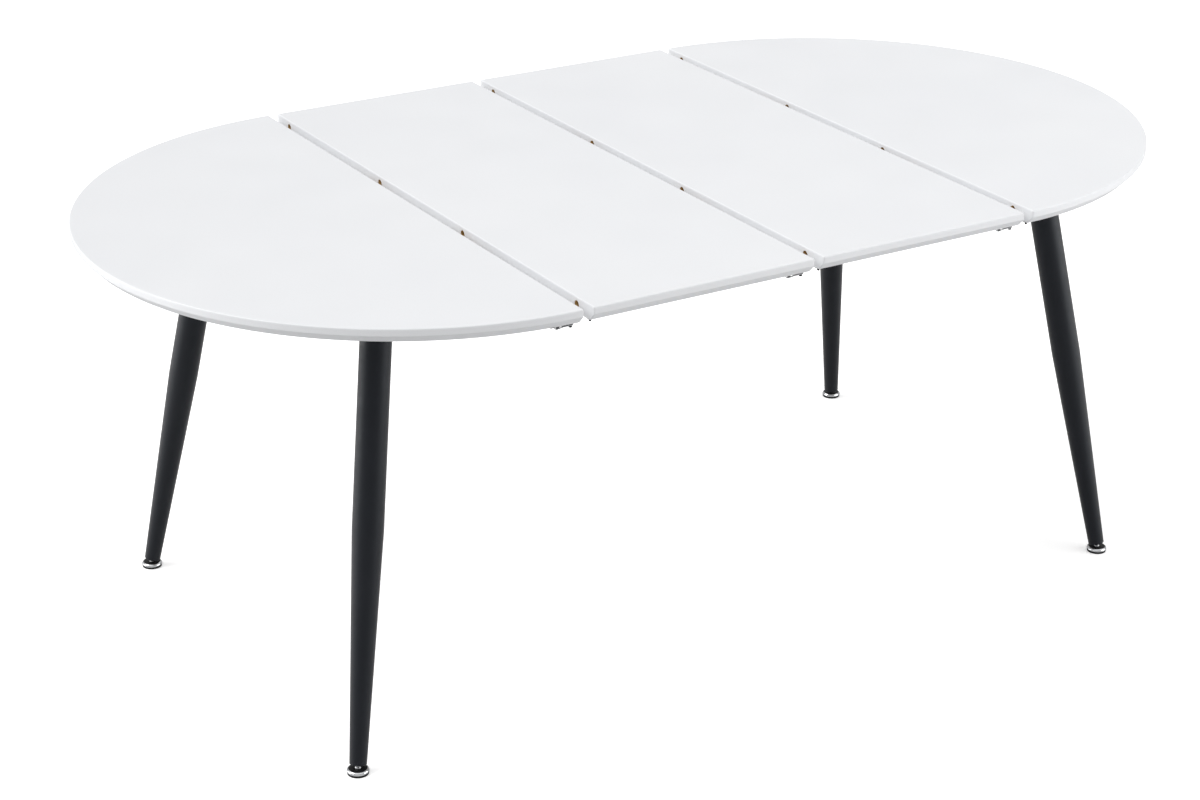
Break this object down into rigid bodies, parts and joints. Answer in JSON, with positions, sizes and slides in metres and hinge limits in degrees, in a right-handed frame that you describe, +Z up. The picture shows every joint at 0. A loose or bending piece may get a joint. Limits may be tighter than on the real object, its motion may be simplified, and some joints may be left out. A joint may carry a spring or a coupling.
{
  "type": "extendable dining table",
  "caption": "Round-ended extendable dining table with white bevelled top panels, drop-in leaves on hidden wooden runners, splayed tapered black legs and levelling feet.",
  "frame": {"origin": "floor level, under the middle of the opened table", "axes": "+X along the table's length towards the right half, +Y away from the pictured front, +Z up"},
  "size_m": [1.9508, 1.1, 0.76],
  "materials": {
    "white_lacquer": "satin white lacquer on fibreboard",
    "black_powder_coat": "fine matt powder coat",
    "chrome": "polished",
    "black_plastic": "moulded",
    "beech": "planed and waxed",
    "zinc_steel": "zinc plated"
  },
  "bodies": {
    "left_end": {"left_half": "white_lacquer", "left_dowels": "beech", "left_latch_bases": "zinc_steel", "left_screws": "zinc_steel", "left_leg_screws": "zinc_steel", "left_rail_front": "beech", "left_rail_back": "beech", "left_rail_screws": "zinc_steel", "left_stop_bolts": "zinc_steel", "leg_front_left": "black_powder_coat", "leg_plate_front_left": "black_powder_coat", "leg_plug_front_left": "zinc_steel", "leg_back_left": "black_powder_coat", "leg_plate_back_left": "black_powder_coat", "leg_plug_back_left": "zinc_steel"},
    "middle_runners": {"mid_rail_front": "beech", "mid_rail_back": "beech", "mid_ties": "zinc_steel", "mid_tie_screws": "zinc_steel"},
    "right_end": {"right_half": "white_lacquer", "right_keepers": "zinc_steel", "right_screws": "zinc_steel", "right_leg_screws": "zinc_steel", "right_rail_front": "beech", "right_rail_back": "beech", "right_rail_screws": "zinc_steel", "right_stop_bolts": "zinc_steel", "leg_front_right": "black_powder_coat", "leg_plate_front_right": "black_powder_coat", "leg_plug_front_right": "zinc_steel", "leg_back_right": "black_powder_coat", "leg_plate_back_right": "black_powder_coat", "leg_plug_back_right": "zinc_steel"},
    "first_leaf": {"leaf_1": "white_lacquer", "leaf_1_dowels": "beech", "leaf_1_latch_bases": "zinc_steel", "leaf_1_keepers": "zinc_steel", "leaf_1_screws": "zinc_steel"},
    "second_leaf": {"leaf_2": "white_lacquer", "leaf_2_dowels": "beech", "leaf_2_latch_bases": "zinc_steel", "leaf_2_keepers": "zinc_steel", "leaf_2_screws": "zinc_steel"},
    "glide_front_left": {"foot_front_left": "chrome", "foot_pad_front_left": "black_plastic"},
    "glide_back_left": {"foot_back_left": "chrome", "foot_pad_back_left": "black_plastic"},
    "glide_front_right": {"foot_front_right": "chrome", "foot_pad_front_right": "black_plastic"},
    "glide_back_right": {"foot_back_right": "chrome", "foot_pad_back_right": "black_plastic"},
    "lever_left_front": {"latch_left_front": "zinc_steel"},
    "lever_left_back": {"latch_left_back": "zinc_steel"},
    "lever_leaf_1_front": {"latch_leaf_1_front": "zinc_steel"},
    "lever_leaf_1_back": {"latch_leaf_1_back": "zinc_steel"},
    "lever_leaf_2_front": {"latch_leaf_2_front": "zinc_steel"},
    "lever_leaf_2_back": {"latch_leaf_2_back": "zinc_steel"}
  },
  "joints": [
    {"name": "middle_slide", "type": "slide", "parent": "left_end", "child": "middle_runners", "axis": [-1, 0, 0], "range_m": [0, 0.4255]},
    {"name": "right_slide", "type": "slide", "parent": "middle_runners", "child": "right_end", "axis": [-1, 0, 0], "range_m": [0, 0.4255]},
    {"name": "first_leaf_lift", "type": "slide", "parent": "middle_runners", "child": "first_leaf", "axis": [0, 0, 1], "range_m": [0, 1.0212]},
    {"name": "second_leaf_lift", "type": "slide", "parent": "middle_runners", "child": "second_leaf", "axis": [0, 0, 1], "range_m": [0, 1.0212]},
    {"name": "glide_front_left_screw", "type": "slide", "parent": "left_end", "child": "glide_front_left", "axis": [-0.1544, -0.1517, -0.9763], "range_m": [0, 0.012]},
    {"name": "glide_back_left_screw", "type": "slide", "parent": "left_end", "child": "glide_back_left", "axis": [-0.1544, 0.1517, -0.9763], "range_m": [0, 0.012]},
    {"name": "glide_front_right_screw", "type": "slide", "parent": "right_end", "child": "glide_front_right", "axis": [0.1544, -0.1517, -0.9763], "range_m": [0, 0.012]},
    {"name": "glide_back_right_screw", "type": "slide", "parent": "right_end", "child": "glide_back_right", "axis": [0.1544, 0.1517, -0.9763], "range_m": [0, 0.012]},
    {"name": "lever_left_front_turn", "type": "hinge", "parent": "left_end", "child": "lever_left_front", "pos_m": [-0.4355, -0.527, 0.73035], "axis": [0, 0, 1], "range_deg": [-180, 0]},
    {"name": "lever_left_back_turn", "type": "hinge", "parent": "left_end", "child": "lever_left_back", "pos_m": [-0.4355, 0.527, 0.73035], "axis": [0, 0, 1], "range_deg": [0, 180]},
    {"name": "lever_leaf_1_front_turn", "type": "hinge", "parent": "first_leaf", "child": "lever_leaf_1_front", "pos_m": [-0.0185, -0.527, 0.73035], "axis": [0, 0, 1], "range_deg": [-180, 0]},
    {"name": "lever_leaf_1_back_turn", "type": "hinge", "parent": "first_leaf", "child": "lever_leaf_1_back", "pos_m": [-0.0185, 0.527, 0.73035], "axis": [0, 0, 1], "range_deg": [0, 180]},
    {"name": "lever_leaf_2_front_turn", "type": "hinge", "parent": "second_leaf", "child": "lever_leaf_2_front", "pos_m": [0.3985, -0.527, 0.73035], "axis": [0, 0, 1], "range_deg": [-180, 0]},
    {"name": "lever_leaf_2_back_turn", "type": "hinge", "parent": "second_leaf", "child": "lever_leaf_2_back", "pos_m": [0.3985, 0.527, 0.73035], "axis": [0, 0, 1], "range_deg": [0, 180]}
  ],
  "couplings": [
    {"joint": "right_slide", "follows": "middle_slide", "ratio": 1},
    {"joint": "first_leaf_lift", "follows": "middle_slide", "ratio": 2.4},
    {"joint": "second_leaf_lift", "follows": "middle_slide", "ratio": 2.4}
  ]
}
